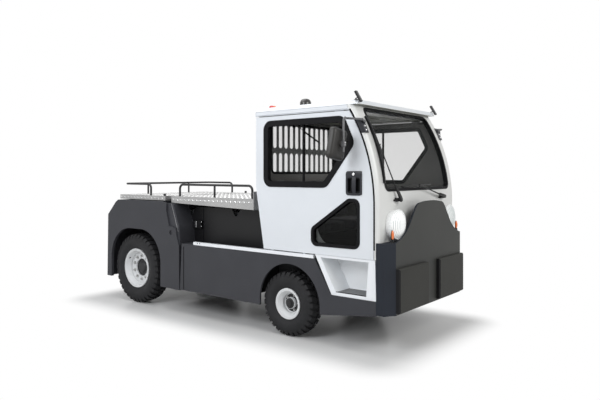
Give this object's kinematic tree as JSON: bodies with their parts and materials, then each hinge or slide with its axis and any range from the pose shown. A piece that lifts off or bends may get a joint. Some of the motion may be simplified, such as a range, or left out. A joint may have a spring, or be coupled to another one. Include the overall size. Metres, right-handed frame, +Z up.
{
  "type": "airport baggage tow tractor",
  "caption": "Compact electric airport tow tractor with a closed cab, sliding doors, chequer-plate luggage decks, tube rails and a rear tow coupling.",
  "frame": {"origin": "on the ground at the centre of the plan of the whole vehicle", "axes": "+X to the vehicle's left, +Y to its rear, +Z up; the cab faces -Y"},
  "size_m": [1.856, 3.751, 2.088],
  "materials": {
    "frame_black": "satin",
    "charcoal": "satin",
    "cab_white": "gloss",
    "bumper_grey": "satin",
    "pad_rubber": "matt",
    "glass": "clear",
    "seal_rubber": "matt",
    "floor_grey": "matt",
    "guard_grey": "satin",
    "lamp_glass": "fluted",
    "lamp_amber": "gloss",
    "black_plastic": "grained",
    "seat_fabric": "woven",
    "battery_grey": "matt",
    "chequer": "chequer plate",
    "rail_black": "satin",
    "pin_steel": "zinc plated",
    "axle_iron": "painted",
    "tyre": "matt",
    "rim_white": "satin"
  },
  "bodies": {
    "chassis": {"chassis_frame": "frame_black", "side_skirts": "charcoal", "sill_panels": "cab_white", "front_bumper": "bumper_grey", "bumper_pads": "pad_rubber", "front_cowl": "cab_white", "cab_glass": "glass", "cab_seals": "seal_rubber", "cab_floor": "floor_grey", "rear_wall": "cab_white", "window_guard": "guard_grey", "roof": "cab_white", "headlamps": "lamp_glass", "signal_lamps": "lamp_amber", "work_lights": "black_plastic", "beacon": "black_plastic", "wipers": "black_plastic", "mirrors": "black_plastic", "dashboard": "black_plastic", "seat_pads": "seat_fabric", "battery": "battery_grey", "battery_bay_panels": "charcoal", "rear_body": "charcoal", "rear_deck": "chequer", "rear_rail": "rail_black", "tow_coupling": "frame_black", "rear_axle": "axle_iron", "front_axle": "axle_iron"},
    "steering_wheel": {"steering_wheel": "black_plastic"},
    "battery_cover": {"battery_cover": "chequer", "cover_rails": "rail_black"},
    "tow_pin": {"tow_pin": "pin_steel"},
    "knuckle_right": {"knuckle_right": "axle_iron"},
    "knuckle_left": {"knuckle_left": "axle_iron"},
    "tie_rod": {"tie_rod": "pin_steel"},
    "wheel_front_right": {"tyre_front_right": "tyre", "rim_front_right": "rim_white"},
    "wheel_front_left": {"tyre_front_left": "tyre", "rim_front_left": "rim_white"},
    "wheel_rear_right": {"tyre_rear_right": "tyre", "rim_rear_right": "rim_white"},
    "wheel_rear_left": {"tyre_rear_left": "tyre", "rim_rear_left": "rim_white"},
    "door_right": {"door_right_panel": "cab_white", "door_right_glass": "glass", "door_right_trim": "seal_rubber"},
    "door_left": {"door_left_panel": "cab_white", "door_left_glass": "glass", "door_left_trim": "seal_rubber"}
  },
  "joints": [
    {"name": "door_right_slide", "type": "slide", "parent": "chassis", "child": "door_right", "axis": [0, 1, 0], "range_m": [0, 0.8]},
    {"name": "door_left_slide", "type": "slide", "parent": "chassis", "child": "door_left", "axis": [0, 1, 0], "range_m": [0, 0.8]},
    {"name": "battery_cover_hinge", "type": "hinge", "parent": "chassis", "child": "battery_cover", "pos_m": [0, 0.7315, 1.132], "axis": [-1, 0, 0], "range_deg": [0, 70]},
    {"name": "tow_pin_lift", "type": "slide", "parent": "chassis", "child": "tow_pin", "axis": [0, 0, 1], "range_m": [0, 0.105]},
    {"name": "steer_right", "type": "hinge", "parent": "chassis", "child": "knuckle_right", "pos_m": [-0.455, -0.8285, 0.274], "axis": [0, 0, 1], "range_deg": [-38, 38]},
    {"name": "steer_left", "type": "hinge", "parent": "chassis", "child": "knuckle_left", "pos_m": [0.455, -0.8285, 0.274], "axis": [0, 0, 1], "range_deg": [-38, 38]},
    {"name": "tie_rod_pivot", "type": "hinge", "parent": "knuckle_right", "child": "tie_rod", "pos_m": [-0.455, -0.6985, 0.214], "axis": [0, 0, 1], "range_deg": [-38, 38]},
    {"name": "steering_wheel_turn", "type": "hinge", "parent": "chassis", "child": "steering_wheel", "pos_m": [-0.3, -1.3085, 1.18], "axis": [0, 0.376, 0.9266], "range_deg": [-456, 456]},
    {"name": "wheel_front_right_spin", "type": "hinge", "parent": "knuckle_right", "child": "wheel_front_right", "pos_m": [-0.563, -0.8285, 0.274], "axis": [1, 0, 0], "continuous": true},
    {"name": "wheel_front_left_spin", "type": "hinge", "parent": "knuckle_left", "child": "wheel_front_left", "pos_m": [0.563, -0.8285, 0.274], "axis": [1, 0, 0], "continuous": true},
    {"name": "wheel_rear_right_spin", "type": "hinge", "parent": "chassis", "child": "wheel_rear_right", "pos_m": [-0.548, 1.2695, 0.367], "axis": [1, 0, 0], "continuous": true},
    {"name": "wheel_rear_left_spin", "type": "hinge", "parent": "chassis", "child": "wheel_rear_left", "pos_m": [0.548, 1.2695, 0.367], "axis": [1, 0, 0], "continuous": true}
  ],
  "couplings": [
    {"joint": "steer_left", "follows": "steer_right", "ratio": 1},
    {"joint": "tie_rod_pivot", "follows": "steer_right", "ratio": -1},
    {"joint": "steering_wheel_turn", "follows": "steer_right", "ratio": 12}
  ]
}
